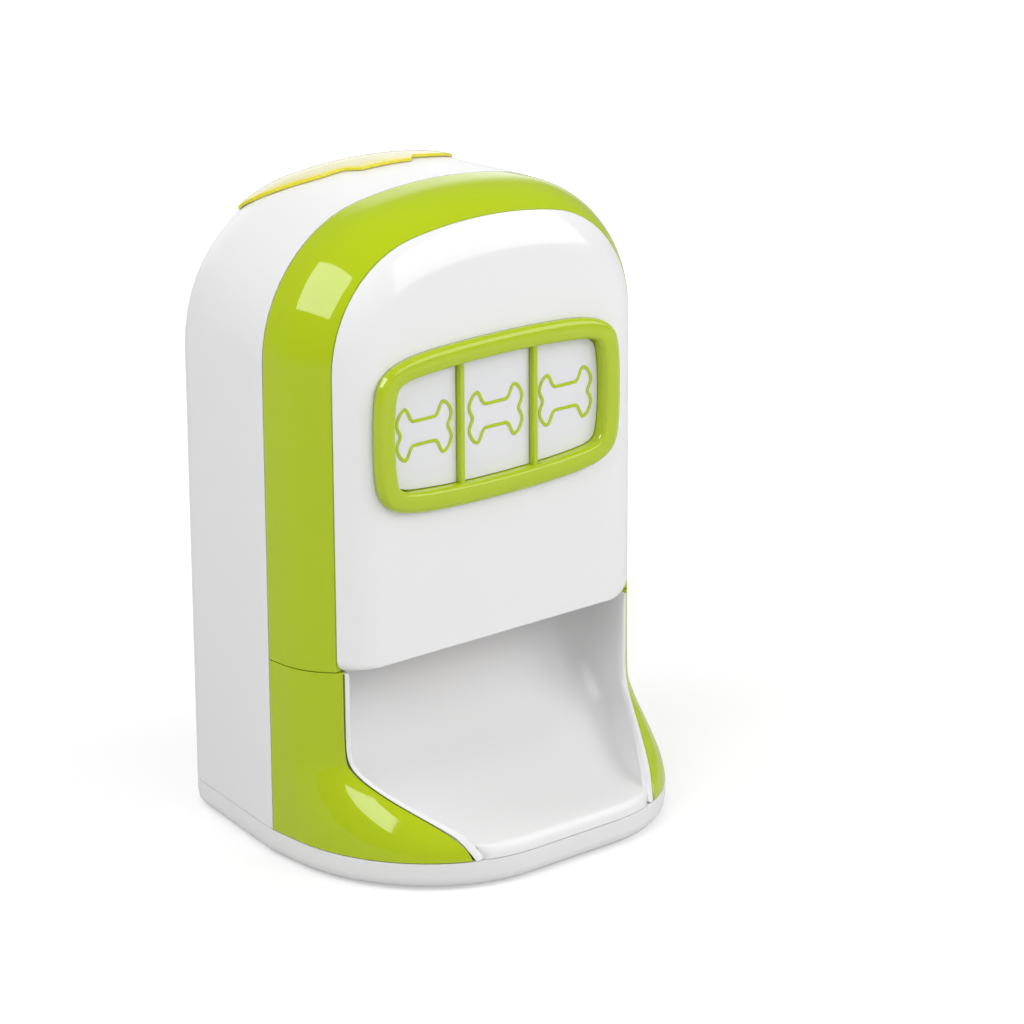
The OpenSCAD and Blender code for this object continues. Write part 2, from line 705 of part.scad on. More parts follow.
// Keys: one plate in each window pane, with a flange behind the frame and a stem
flange_y = front_y + collar_d + 0.3;
key_board_y = flange_y + key_flange + stem_len;
stem_tip = key_board_y - board_t - key_travel - 0.2;
pane_edges = [-window_w, -bar_x, bar_x, window_w];
pane_mid = [-(bar_x + window_w / 2) / 2, 0, (bar_x + window_w / 2) / 2];
module pane(k, e, y0, y1) {
    // Behind a bar the flanges of two keys stay clear of each other
    b = min(e, bar_w / 2 - key_gap);
    intersection() {
        along_y(y0, y1) window_shape(e);
        block([pane_edges[k] + bar_w / 2 - b, y0 - 1, 0],
            [pane_edges[k + 1] - bar_w / 2 + b, y1 + 1, ridge_h]);
    }
}
module key(k) {
    color("#e6e6e8") {
        pane(k, -key_gap, front_y + key_sink, flange_y + eps);
        pane(k, key_catch, flange_y, flange_y + key_flange);
        rod_y(pane_mid[k], flange_y, stem_tip, window_z, stem_r);
    }
}
module left_key() {
    key(0);
}
module middle_key() {
    key(1);
}
module right_key() {
    key(2);
}

// Bone outline: a straight bar with two pointed knobs at each end, rounded by cutting its corners.
// A quarter is given as shares of half the length and half the height, and mirrored
bone_quarter = [
    [0.3, 0.52], [0.42, 0.53], [0.56, 0.95], [0.68, 1.07], [0.88, 0.9], [1.03, 0.5], [0.97, 0.2], [0.865, 0]
];
bone_cuts = 2;
function cut_corners(v, times) = times == 0 ? v : cut_corners([for (i = [0:len(v) - 1])
    let (a = v[i], b = v[(i + 1) % len(v)]) each [mix(a, b, 0.25), mix(a, b, 0.75)]], times - 1);
module bone_shape() {
    quarter = [for (p = bone_quarter) [p[0] * bone_w / 2, p[1] * bone_h / 2]];
    half = concat(quarter, [for (i = [len(quarter) - 2:-1:0]) [quarter[i][0], -quarter[i][1]]]);
    polygon(cut_corners(concat(half, -half), bone_cuts));
}
module bone(k) {
    face_y = front_y + key_sink;
    color(lime) translate([pane_mid[k], 0, window_z]) along_y(face_y - bone_proud, face_y) difference() {
        bone_shape();
        offset(delta = -bone_line) bone_shape();
    }
}
module left_bone() {
    bone(0);
}
module middle_bone() {
    bone(1);
}
module right_bone() {
    bone(2);
}

// Board behind the keys, on four posts of the front panel's screws
post_r = 3;
post_set = 14;
post_clear = 1;
post_x = window_w / 2 - post_set;
post_z = window_h / 2 + collar_t + post_r + post_clear;
board_rim = 5;
tact_half = 4;
small_screw_r = 1;
small_screw_d = 3;
small_hole_d = 4;
small_head_r = 2.2;
small_head_h = 1.4;
module at_posts() {
    for (sx = [-1, 1], sz = [-1, 1]) translate([sx * post_x, 0, window_z + sz * post_z]) children();
}
module key_board() {
    color("darkgreen") difference() {
        union() {
            block([-post_x - board_rim, key_board_y, window_z - post_z - board_rim],
                [post_x + board_rim, key_board_y + board_t, window_z + post_z + board_rim]);
            at_posts() rod_y(0, front_y + wall, key_board_y + eps, 0, post_r);
        }
        at_posts() rod_y(0, key_board_y - small_hole_d, key_board_y + board_t + 1, 0, small_screw_r);
    }
}
module key_switches() {
    color("#303030") for (x = pane_mid)
        block([x - tact_half, key_board_y - board_t, window_z - tact_half],
            [x + tact_half, key_board_y, window_z + tact_half]);
}
module key_board_screws() {
    color("silver") at_posts() {
        rod_y(0, key_board_y - small_screw_d, key_board_y + board_t + eps, 0, small_screw_r);
        rod_y(0, key_board_y + board_t, key_board_y + board_t + small_head_h, 0, small_head_r);
    }
}

// Works: two side plates on the base carry the rotor and the hopper
rotor_y = front_y + rotor_set;
trough_r = rotor_r + trough_gap;
plate_rise = 30;
plate_top = rotor_z + plate_rise;
step_clear = 5;
plate_step = throat_z + step_clear;
plate_y0 = rotor_y - trough_r - trough_t;
plate_clear = 1;
plate_y1 = box_y0 - plate_clear;
leg_set = 8;
leg_y0 = rotor_y + leg_set;
plate_foot = 8;
bush_wall = 3;
bush_lip = 2;
bush_r = shaft_r + bush_wall;
bush_flange_r = bush_r + bush_lip;
bush_flange_t = 1.5;
press_fit = 0.02;
pinion_y = rotor_y + gear_m * (gear_n + pinion_n) / 2;
standoff_z = 9;
standoff_y = pinion_y + standoff_z;
standoff_r = 3;
motor_screw_r = 1.5;
motor_screw_gap = 0.1;
motor_head_h = 1.6;
gear_clear = 0.5;
gear_x = plate_x + plate_t + bush_flange_t + gear_clear;
case_clear = 2;
case_x = gear_x + gear_w + case_clear;
case_rim = 1;
case_half = motor_r + case_rim;
case_t = 15;
case_bite = 6;
motor_shaft_in = 8;
motor_end = half_at(pinion_y + motor_r, wall) - motor_gap;
control_post = 8;
control_rim = 4;
control_len = 36;
control_x = plate_x + plate_t + control_post;
control_y = [plate_y1 - control_rim - control_len, plate_y1 - control_rim];
control_z = [plate_step + board_rim, plate_top - control_rim];
chip_set = 12;
chip_w = 12;
chip_h = 2;
module at_control() {
    for (y = control_y, z = control_z) translate([0, y, z]) children();
}
module at_standoffs() {
    for (s = [-1, 1]) translate([0, standoff_y, rotor_z + s * standoff_z]) children();
}
// Side plate with a leg to the base, on the +X side
module side_plate() {
    along_x(plate_x, plate_x + plate_t) difference() {
        union() {
            translate([leg_y0, floor_z]) square([plate_y1 - leg_y0, plate_step - floor_z + eps]);
            translate([plate_y0, plate_step]) square([plate_y1 - plate_y0, plate_top - plate_step]);
        }
        translate([rotor_y, rotor_z]) circle(r = bush_r + press_fit);
        if ($children > 0) children();
    }
    block([plate_x, leg_y0, floor_z], [plate_x + plate_t + plate_foot, plate_y1, floor_z + plate_t]);
}
module left_side_plate() {
    color("#d8d8d8") difference() {
        union() {
            mirror([1, 0, 0]) side_plate();
            at_control() rod_x(-control_x, -plate_x - eps, 0, 0, post_r);
        }
        at_control() rod_x(-control_x - 1, -control_x + small_hole_d + 1, 0, 0, small_screw_r);
    }
}
module right_side_plate() {
    color("#d8d8d8") side_plate() for (s = [-1, 1])
        translate([standoff_y, rotor_z + s * standoff_z]) circle(r = motor_screw_r + motor_screw_gap);
}

// Arc wall around the rotor between two angles, measured from the back over the top
module rotor_wall(from, to) {
    translate([-plate_x, rotor_y, rotor_z]) rotate([90, 0, 90]) rotate([0, 0, from])
        rotate_extrude(angle = to - from) translate([trough_r, 0]) square([trough_t, 2 * plate_x]);
}
module rotor_trough() {
    color("#d8d8d8") rotor_wall(-80, 50);
}
module rotor_guard() {
    color("#d8d8d8") rotor_wall(125, 190);
}

module rotor() {
    len_x = plate_x - 1;
    hub_r = shaft_r + 4;
    color("orange") difference() {
        union() {
            rod_x(-len_x, len_x, rotor_y, rotor_z, hub_r);
            for (i = [0:vane_n - 1]) translate([0, rotor_y, rotor_z]) rotate([360 * i / vane_n, 0, 0])
                block([-len_x, -vane_t / 2, shaft_r + 1], [len_x, vane_t / 2, rotor_r]);
        }
        rod_x(-plate_x, plate_x, rotor_y, rotor_z, shaft_r + press_fit);
    }
}
module rotor_shaft() {
    color("silver") rod_x(-gear_x, gear_x + gear_w + 1, rotor_y, rotor_z, shaft_r);
}
module bush() {
    color("#b08d57") difference() {
        union() {
            rod_x(plate_x, plate_x + plate_t + eps, rotor_y, rotor_z, bush_r);
            rod_x(plate_x + plate_t, plate_x + plate_t + bush_flange_t, rotor_y, rotor_z, bush_flange_r);
        }
        rod_x(plate_x - 1, gear_x, rotor_y, rotor_z, shaft_r + run_gap);
    }
}
module left_bush() {
    mirror([1, 0, 0]) bush();
}
module right_bush() {
    bush();
}

// Involute gears with a pressure angle of 20 degrees
pressure = 20;
function involute(a) = tan(a) * 180 / PI - a;
function tooth_half(n, r) = let (base = gear_m * n / 2 * cos(pressure))
    90 / n - gear_slack + involute(pressure) - involute(r > base ? acos(base / r) : 0);
module gear_shape(n) {
    low = gear_m * (n / 2 - 1.25);
    high = gear_m * (n / 2 + 1);
    radii = [for (i = [0:5]) mix(low, high, i / 5)];
    polygon([for (i = [0:n - 1]) each concat(
        [for (r = radii) let (a = 360 * i / n - tooth_half(n, r)) [r * cos(a), r * sin(a)]],
        [for (r = reversed(radii)) let (a = 360 * i / n + tooth_half(n, r)) [r * cos(a), r * sin(a)]]
    )]);
}
module rotor_gear() {
    color("ivory") along_x(gear_x, gear_x + gear_w) translate([rotor_y, rotor_z]) difference() {
        gear_shape(gear_n);
        circle(r = shaft_r + press_fit);
    }
}
motor_shaft_r = 1.5;
module motor_pinion() {
    color("ivory") along_x(gear_x, gear_x + gear_w) translate([pinion_y, rotor_z]) difference() {
        rotate(180 / pinion_n) gear_shape(pinion_n);
        circle(r = motor_shaft_r + press_fit);
    }
}
module motor_shaft() {
    color("silver") rod_x(gear_x, case_x + motor_shaft_in, pinion_y, rotor_z, motor_shaft_r);
}
// Motor can on a reduction case
module gear_motor() {
    color("silver") difference() {
        union() {
            block([case_x, pinion_y - case_half, rotor_z - case_half],
                [case_x + case_t, pinion_y + case_half, rotor_z + case_half]);
            rod_x(case_x + case_t - eps, motor_end, pinion_y, rotor_z, motor_r);
        }
        rod_x(case_x - 1, case_x + motor_shaft_in + 1, pinion_y, rotor_z, motor_shaft_r + run_gap);
        at_standoffs() rod_x(case_x - 1, case_x + case_bite + 1, 0, 0, motor_screw_r + motor_screw_gap);
    }
}
module motor_standoffs() {
    color("silver") at_standoffs() difference() {
        rod_x(plate_x + plate_t, case_x, 0, 0, standoff_r);
        rod_x(plate_x, case_x + 1, 0, 0, motor_screw_r + motor_screw_gap);
    }
}
module motor_screws() {
    color("silver") at_standoffs() {
        rod_x(plate_x - motor_head_h, plate_x, 0, 0, standoff_r);
        rod_x(plate_x - eps, case_x + case_bite, 0, 0, motor_screw_r);
    }
}
module control_board() {
    color("darkgreen") difference() {
        block([-control_x - board_t, control_y[0] - control_rim, control_z[0] - control_rim],
            [-control_x, control_y[1] + control_rim, control_z[1] + control_rim]);
        at_control() rod_x(-control_x - board_t - 1, 0, 0, 0, small_screw_r);
    }
    chip_at = [-control_x - board_t - chip_h, control_y[0] + chip_set, control_z[0] + chip_set];
    color("#303030") translate(chip_at) cube([chip_h + eps, chip_w, chip_w]);
}
module board_screws() {
    color("silver") at_control() {
        rod_x(-control_x - board_t - eps, -control_x + small_hole_d, 0, 0, small_screw_r);
        rod_x(-control_x - board_t - small_head_h, -control_x - board_t, 0, 0, small_head_r);
    }
}

// Hopper: funnel from a wide rim under the dome to an outlet over the rotor
hopper_front = 6;
hopper_back = 18;
hopper_y0 = rotor_y - hopper_front;
hopper_y1 = back_y - hopper_back;
outlet_inset = 4;
outlet_half = 15;
saddle_t = 2.5;
saddle_rim = 6;
outlet_x = plate_x - outlet_inset;
outlet_y = [rotor_y - outlet_half, rotor_y + outlet_half];
outlet_z = plate_top + saddle_t;
hopper_r = 14;
hopper_straight = 22;
outlet_r = 5;
// Round-cornered box outline at height z, clockwise from above, starting at the front right
function box_loop(x, y0, y1, r, z) = [
    for (k = [[1, y0 + r, 0], [-1, y0 + r, 1], [-1, y1 - r, 2], [1, y1 - r, 3]], i = [0:4])
        let (t = -90 * k[2] - 90 * i / 4)
        [k[0] * (x - r) + r * cos(t), k[1] + r * sin(t), z]
];
module hopper() {
    function rim(d, z) = box_loop(hopper_x - d, hopper_y0 + d, hopper_y1 - d, hopper_r, z);
    function outlet(e, z) = box_loop(outlet_x + e, outlet_y[0] - e, outlet_y[1] + e, outlet_r, z);
    function rows(d) = [
        rim(d, hopper_top),
        rim(d, hopper_top - hopper_straight),
        outlet(hopper_t - d, outlet_z),
        outlet(hopper_t - d, plate_top)
    ];
    color("#d0d4d8") skin(rows(0), rows(hopper_t), loop = true);
    color("#d0d4d8") difference() {
        block([-plate_x - plate_t, outlet_y[0] - saddle_rim, plate_top],
            [plate_x + plate_t, outlet_y[1] + saddle_rim, outlet_z]);
        block([-outlet_x, outlet_y[0], plate_top - 1], [outlet_x, outlet_y[1], outlet_z + 1]);
    }
}

// Power: a box of cells behind a door in the flat back
cell_y = box_y0 + box_t + cell_d / 2 + box_gap;
boss_d = 8;
bay_half = 5;
stake_fit = 0.1;
cap_r = 2.75;
stub_r = 2.6;
contact_gap = 0.2;
function cell_z(i) = box_z0 + box_t + cell_pitch * (i + 0.5);
module battery_box() {
    color("#e0e0e0") difference() {
        union() {
            block([-box_x - box_t, box_y0, box_z0], [box_x + box_t, box_y1, box_z1]);
            block([-stake_x - bay_half, box_y1 - tab_t, stake_z - bay_half],
                [stake_x + bay_half, box_y1, stake_z + bay_half]);
            block([-bay_half, box_y1 - boss_d, box_z1 - eps], [bay_half, box_y1, door_z1 - 1]);
        }
        block([-box_x, box_y0 + box_t, box_z0 + box_t], [box_x, box_y1 + 1, box_z1 - box_t]);
        for (side = [-1, 1])
            rod_y(side * stake_x, box_y1 - tab_t - 1, box_y1 + 1, stake_z, stake_r + stake_fit);
        rod_y(0, box_y1 - boss_d + 1, box_y1 + 1, door_screw_z, screw_r + run_gap);
    }
}
module battery_cells() {
    cap_len = 1;
    color("#505a60") for (i = [0:cell_n - 1]) {
        rod_x(-cell_len / 2, cell_len / 2 - cap_len, cell_y, cell_z(i), cell_d / 2);
        rod_x(cell_len / 2 - cap_len - eps, cell_len / 2, cell_y, cell_z(i), cap_r);
    }
}
// Contact plates at both ends of each cell, with a stub that touches it
module battery_contacts() {
    plate = 1;
    reach = cell_len / 2 + contact_gap;
    color("silver") for (i = [0:cell_n - 1], side = [0, 1]) mirror([side, 0, 0]) {
        block([box_x - plate, cell_y - bay_half, cell_z(i) - bay_half],
            [box_x, cell_y + bay_half, cell_z(i) + bay_half]);
        rod_x(reach, box_x - plate + eps, cell_y, cell_z(i), stub_r);
    }
}
module battery_door() {
    color(white) difference() {
        block([-door_x + door_gap, back_y - wall, door_z0 + door_gap],
            [door_x - door_gap, back_y, door_z1 - door_gap]);
        rod_y(0, back_y - wall - 1, back_y + 1, door_screw_z, screw_r + stake_fit);
    }
}
module door_screw() {
    color("silver") rod_y(0, box_y1 - boss_d + 2, back_y - 0.2, door_screw_z, screw_r);
}
// Slide switch behind a slot in the back
switch_half = [11, 5];
switch_d = 8;
switch_gap = 0.3;
knob_d = 4.7;
module power_switch_body() {
    color("#303030") difference() {
        block([-switch_half[0], back_y - wall - switch_d, switch_z - switch_half[1]],
            [switch_half[0], back_y - wall, switch_z + switch_half[1]]);
        block([-knob_x - knob_travel / 2 - switch_gap, back_y - wall - knob_d - switch_gap,
                switch_z - knob_z - switch_gap],
            [knob_x + knob_travel / 2 + switch_gap, back_y, switch_z + knob_z + switch_gap]);
    }
}
module power_switch_knob() {
    color("#202020") block([-knob_x - knob_travel / 2, back_y - wall - knob_d, switch_z - knob_z],
        [knob_x - knob_travel / 2, back_y - 0.4, switch_z + knob_z]);
}

base_pan();
rubber_feet();
base_screws();
rear_shell();
green_arch();
left_cheek();
right_cheek();
front_panel();
window_frame();
treat_chute();
hopper_lid();
lid_hinge_pin();
left_key();
middle_key();
right_key();
left_bone();
middle_bone();
right_bone();
key_board();
key_switches();
key_board_screws();
hopper();
left_side_plate();
right_side_plate();
rotor_trough();
rotor_guard();
rotor();
rotor_shaft();
left_bush();
right_bush();
rotor_gear();
motor_pinion();
motor_shaft();
gear_motor();
motor_standoffs();
motor_screws();
control_board();
board_screws();
battery_box();
battery_cells();
battery_contacts();
battery_door();
door_screw();
power_switch_body();
power_switch_knob();
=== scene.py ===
import json
import math

import bmesh
import bpy
from mathutils import Matrix, Quaternion, Vector
from mathutils.kdtree import KDTree


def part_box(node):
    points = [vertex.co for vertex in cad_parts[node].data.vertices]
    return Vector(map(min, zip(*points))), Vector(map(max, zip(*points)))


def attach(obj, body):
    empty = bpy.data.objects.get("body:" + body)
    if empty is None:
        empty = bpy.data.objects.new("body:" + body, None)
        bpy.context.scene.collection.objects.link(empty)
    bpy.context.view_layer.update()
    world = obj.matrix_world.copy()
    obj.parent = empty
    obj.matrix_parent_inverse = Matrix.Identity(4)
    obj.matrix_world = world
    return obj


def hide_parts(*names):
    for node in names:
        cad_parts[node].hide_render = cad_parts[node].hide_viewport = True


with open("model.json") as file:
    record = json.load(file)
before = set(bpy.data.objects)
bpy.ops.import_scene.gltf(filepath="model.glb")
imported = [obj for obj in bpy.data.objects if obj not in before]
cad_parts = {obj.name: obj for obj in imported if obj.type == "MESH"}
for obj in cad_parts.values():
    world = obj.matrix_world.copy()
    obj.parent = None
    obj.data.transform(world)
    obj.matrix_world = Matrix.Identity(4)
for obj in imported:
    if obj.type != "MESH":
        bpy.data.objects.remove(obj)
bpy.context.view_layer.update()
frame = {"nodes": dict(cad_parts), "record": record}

# Base pan: the white tub that the whole casing stands on.
# Injection-moulded ABS with a finely eroded skin, screwed up into the rear shell from below.

# Faces that meet at more than this angle make a crease
crease = math.radians(38)


def linear(hex_colour):
    """An sRGB hex colour as linear RGBA."""
    parts = [int(hex_colour[i:i + 2], 16) / 255 for i in (1, 3, 5)]
    return [p / 12.92 if p <= 0.04045 else ((p + 0.055) / 1.055) ** 2.4 for p in parts] + [1.0]


def add(material, kind, inputs, **settings):
    """Adds a node with its settings; an input is a value or another node's output."""
    node = material.node_tree.nodes.new(kind)
    for name, value in settings.items():
        setattr(node, name, value)
    for socket, value in inputs.items():
        if isinstance(value, bpy.types.NodeSocket):
            material.node_tree.links.new(value, node.inputs[socket])
        else:
            node.inputs[socket].default_value = value
    return node


def blank(name):
    """A material with no nodes in it yet."""
    material = bpy.data.materials.new(name)
    material.use_nodes = True
    material.node_tree.nodes.clear()
    return material


def moulded_plastic(name, colour, shade, rough, grain_mm, bump, index=1.53):
    """Moulded plastic: faint flow shading, uneven polish and a fine skin from the tool."""
    flow_mm, wipe_mm, grain_height = 60, 9, 0.0001
    material = blank(name)
    place = add(material, "ShaderNodeTexCoord", {}).outputs["Object"]
    # The flow of the melt shades the colour; sockets 6 and 7 are the two colours of a Mix node
    flow = add(material, "ShaderNodeTexNoise", {
        "Vector": place, "Scale": 1000 / flow_mm, "Detail": 3.0})
    tone = add(material, "ShaderNodeMix", {
        0: flow.outputs["Fac"], 6: linear(colour), 7: linear(shade)}, data_type="RGBA")
    # Handling and uneven polish vary the gloss by about a tenth
    wipe = add(material, "ShaderNodeTexNoise", {
        "Vector": place, "Scale": 1000 / wipe_mm, "Detail": 4.0})
    gloss = add(material, "ShaderNodeMapRange", {
        "Value": wipe.outputs["Fac"], "From Min": 0.3, "From Max": 0.7,
        "To Min": rough * 0.9, "To Max": rough * 1.12})
    # The tool's skin, drawn coarser than the real one so that it shows
    skin = add(material, "ShaderNodeTexNoise", {
        "Vector": place, "Scale": 1000 / grain_mm, "Detail": 2.0})
    relief = add(material, "ShaderNodeBump", {
        "Height": skin.outputs["Fac"], "Strength": bump, "Distance": grain_height})
    shader = add(material, "ShaderNodeBsdfPrincipled", {
        "Base Color": tone.outputs[2], "Roughness": gloss.outputs["Result"],
        "Normal": relief.outputs["Normal"], "IOR": index})
    add(material, "ShaderNodeOutputMaterial", {"Surface": shader.outputs["BSDF"]})
    return material


def merged(node):
    """A copy of a CAD node with its triangles merged into larger faces."""
    weld, sliver = 0.00002, 0.00001
    bm = bmesh.new()
    bm.from_mesh(frame["nodes"][node].data)
    bmesh.ops.remove_doubles(bm, verts=bm.verts, dist=weld)
    bmesh.ops.dissolve_degenerate(bm, edges=bm.edges, dist=sliver)
    bmesh.ops.join_triangles(bm, faces=bm.faces, angle_face_threshold=math.radians(15),
                             angle_shape_threshold=math.radians(60))
    return bm


def round_edges(bm, edges, mm):
    """Rounds edges by a width in millimetres."""
    bmesh.ops.bevel(bm, geom=edges, offset=mm / 1000, offset_type="OFFSET", affect="EDGES",
                    segments=2, profile=0.5, material=-1, clamp_overlap=True)


def sharp(bm):
    """Edges where two faces meet in a crease."""
    return [e for e in bm.edges if e.is_manifold and e.calc_face_angle() > crease]


def settle(bm, name, node, body, material, levels=0):
    """Makes a smooth piece that rides on a body and stands for a CAD node."""
    speck = 0.000004
    bmesh.ops.dissolve_degenerate(bm, edges=bm.edges, dist=speck)
    mesh = bpy.data.meshes.new(name)
    bm.to_mesh(mesh)
    bm.free()
    mesh.shade_smooth()
    mesh.materials.append(material)
    piece = bpy.data.objects.new(name, mesh)
    bpy.context.scene.collection.objects.link(piece)
    if levels:
        rounding = piece.modifiers.new("smooth_shell", "SUBSURF")
        rounding.levels = rounding.render_levels = levels
    else:
        mesh.set_sharp_from_angle(angle=crease)
    piece.modifiers.new("flat_faces", "WEIGHTED_NORMAL").keep_sharp = True
    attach(piece, body)
    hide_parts(node)
    return piece


def moulding(name, node, body, material, rim_mm, levels=0):
    """A merged copy of a CAD node with its rims rounded."""
    bm = merged(node)
    round_edges(bm, sharp(bm), rim_mm)
    return settle(bm, name, node, body, material, levels)


# Satin white: spreads the lamps into broad soft light and shows no outlines of them
satin_white = moulded_plastic("satin_white_abs", "#f1f1f1", "#efeff0",
                              rough=0.32, grain_mm=0.8, bump=0.04)
moulding("base_pan_skin", "base_pan", "casing", satin_white, rim_mm=0.4)

# Feet: four round rubber pads pressed into seats under the base pan.
# Compression-moulded and dull, with a rounded foot edge.

# Dark dull rubber: almost no reflection, a little grain
foot_rubber = moulded_plastic("moulded_rubber", "#464646", "#3c3c3c",
                              rough=0.7, grain_mm=0.9, bump=0.15)
moulding("rubber_pads", "rubber_feet", "casing", foot_rubber, rim_mm=0.4)

# Base screws: flat-headed steel screws with a cross recess, driven up through the base pan.
# Cold-headed wire, zinc plated; only their heads can be seen.


def plated_metal(name, colour, rough, pitch_mm):
    """Plated or turned metal with a fine uneven sheen."""
    material = blank(name)
    place = add(material, "ShaderNodeTexCoord", {}).outputs["Object"]
    # Marks of the tool and the bath vary colour and gloss; drawn coarser than real, to show
    marks = add(material, "ShaderNodeTexNoise", {
        "Vector": place, "Scale": 1000 / pitch_mm, "Detail": 5.0})
    tone = add(material, "ShaderNodeMix", {
        0: marks.outputs["Fac"], 6: linear(colour), 7: linear("#a9a9a9")},
        data_type="RGBA", blend_type="MULTIPLY")
    gloss = add(material, "ShaderNodeMapRange", {
        "Value": marks.outputs["Fac"], "To Min": rough * 0.7, "To Max": rough * 1.3})
    shader = add(material, "ShaderNodeBsdfPrincipled", {
        "Base Color": tone.outputs[2], "Metallic": 1.0, "Roughness": gloss.outputs["Result"]})
    add(material, "ShaderNodeOutputMaterial", {"Surface": shader.outputs["BSDF"]})
    return material


def of_kind(geom, kind):
    """The elements of one kind in what an operator gives back."""
    return [g for g in geom if isinstance(g, kind)]


def circle(bm, radius, place):
    """The edges of a new circle on the x-y plane of the place."""
    verts = bmesh.ops.create_circle(bm, segments=32, radius=radius, matrix=place)["verts"]
    return list(dict.fromkeys(e for v in verts for e in v.link_edges))


def close_wall(bm, rim, way):
    """Draws a wall from a rim of edges along a vector and closes its far end."""
    wall = bmesh.ops.extrude_edge_only(bm, edges=rim)["geom"]
    bmesh.ops.translate(bm, vec=way, verts=of_kind(wall, bmesh.types.BMVert))
    bmesh.ops.edgeloop_fill(bm, edges=of_kind(wall, bmesh.types.BMEdge))


def cross_head(bm, place, radius, depth, recess):
    """Adds a screw head with a cross recess; its top lies on the x-y plane of the place."""
    rim = circle(bm, radius, place)
    grid = bmesh.ops.create_grid(bm, x_segments=3, y_segments=3, size=recess, matrix=place)
    cells = sorted(dict.fromkeys(f for v in grid["verts"] for f in v.link_faces),
                   key=lambda f: (f.calc_center_median() - place.translation).length)
    # The middle cell and the four beside it make the cross, and the corner cells go
    cross, corners = cells[:5], cells[5:]
    bmesh.ops.delete(bm, geom=corners, context="FACES")
    outline = [e for e in dict.fromkeys(e for f in cross for e in f.edges)
               if len(e.link_faces) == 1]
    bmesh.ops.bridge_loops(bm, edges=rim + outline)
    # The recess goes through four fifths of the head
    down, share = place.to_3x3() @ Vector((0, 0, -depth)), 0.8
    sunk = bmesh.ops.extrude_face_region(bm, geom=cross)["geom"]
    bmesh.ops.translate(bm, vec=down * share, verts=of_kind(sunk, bmesh.types.BMVert))
    bmesh.ops.delete(bm, geom=[f for f in cross if f.is_valid], context="FACES")
    close_wall(bm, rim, down)


# Zinc plate: bluish bright metal, a little dulled
zinc_steel = plated_metal("zinc_plated_steel", "#c9cbcd", rough=0.3, pitch_mm=0.8)
bm = bmesh.new()
low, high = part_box("base_screws")
# Corners of the CAD heads' undersides, from which each head's middle comes
underside = low.z + 0.0001
heads = [v.co for v in frame["nodes"]["base_screws"].data.vertices if v.co.z < underside]
upside_down = Matrix.Rotation(math.pi, 4, "X")
for right in (True, False):
    for rear in (True, False):
        rim = [p for p in heads
               if (p.x > 0) == right and (p.y > (low.y + high.y) / 2) == rear]
        spot = sum(rim, Vector()) / len(rim)
        cross_head(bm, Matrix.Translation(spot) @ upside_down,
                   radius=0.0036, depth=0.0006, recess=0.0016)
bmesh.ops.recalc_face_normals(bm, faces=bm.faces)
settle(bm, "base_screw_heads", "base_screws", "casing", zinc_steel)

# Rear shell: sides, dome and back of the casing in one piece, with a round edge along the dome.
# Injection-moulded white ABS with the same eroded skin as the base pan, which it stands on.
moulding("rear_shell_skin", "rear_shell", "casing", satin_white, rim_mm=0.3)

# Upper band and the two cheeks below its parting line: the lime part of the casing.
# ABS coloured in the melt, moulded in polished tools, clipped between rear shell and front panel.

# Polished lime: deep colour with hard-edged reflections of the lamps
lime_abs = moulded_plastic("gloss_lime_abs", "#b6cb08", "#b3c906",
                           rough=0.05, grain_mm=1.4, bump=0.012, index=1.46)
moulding("green_arch_skin", "green_arch", "casing", lime_abs, rim_mm=0.25, levels=2)
moulding("left_cheek_skin", "left_cheek", "casing", lime_abs, rim_mm=0.12, levels=2)
moulding("right_cheek_skin", "right_cheek", "casing", lime_abs,
         rim_mm=0.12, levels=2)

# Front panel: the arched white plate that holds the window, with a rolled edge.
# Injection-moulded ABS from a polished tool, clipped into the band.

# Gloss white: bright, with the soft-edged shape of one lamp on it
gloss_white = moulded_plastic("gloss_white_abs", "#f3f3f3", "#f1f1f2",
                              rough=0.08, grain_mm=1.4, bump=0.012)
moulding("front_panel_skin", "front_panel", "casing", gloss_white, rim_mm=0.3)

# Window frame: a flat lime bead round the window, with a collar behind it and two slim bars.
# Moulded in the lime of the band, lacquered, and pressed in from the front.

# Lacquered lime: the same colour under a harder shine, with bright lines along its edges
frame_lime = moulded_plastic("lacquered_lime_abs", "#b6cc08", "#b4ca06",
                             rough=0.05, grain_mm=1.4, bump=0.012, index=1.6)
moulding("window_frame_bead", "window_frame", "casing", frame_lime, rim_mm=0.25)

# Keys: three pale grey push plates behind the frame, each with an outline of a bone laid on it.
# Satin ABS plates on sprung stems; the bones are moulded in lime and bonded on.

# Satin grey: a quiet face with no reflections, a little bluer than the casing
key_abs = moulded_plastic("satin_grey_abs", "#ececf0", "#eaeaed",
                          rough=0.35, grain_mm=1.0, bump=0.02)
for side in ("left", "middle", "right"):
    body = side + "_key_body"
    moulding(side + "_key_plate", side + "_key", body, key_abs, rim_mm=0.3)
    moulding(side + "_bone_inlay", side + "_bone", body, lime_abs, rim_mm=0.1)

# Tray: one white moulding that curves from the throat under the panel down to its rolled lip.
# Satin ABS, held between the cheeks by its turned-out rims, whose inner edges are well rounded.
inward = -0.6
bm = merged("treat_chute")
# The inner edges stay as they are here, so that the smoothing rounds them by more than the rest
inner = {e for e in sharp(bm)
         if min(f.normal.x * math.copysign(1, e.verts[0].co.x) for f in e.link_faces) < inward}
round_edges(bm, [e for e in sharp(bm) if e not in inner], mm=0.12)
settle(bm, "treat_tray", "treat_chute", "casing", satin_white, levels=2)

# Refill lid: a thin shell of yellow SAN over the fill mouth, hung on a steel pin at the back.
# Press-polished and tinted in the melt, with a rounded rim all round and a lift tab in front.

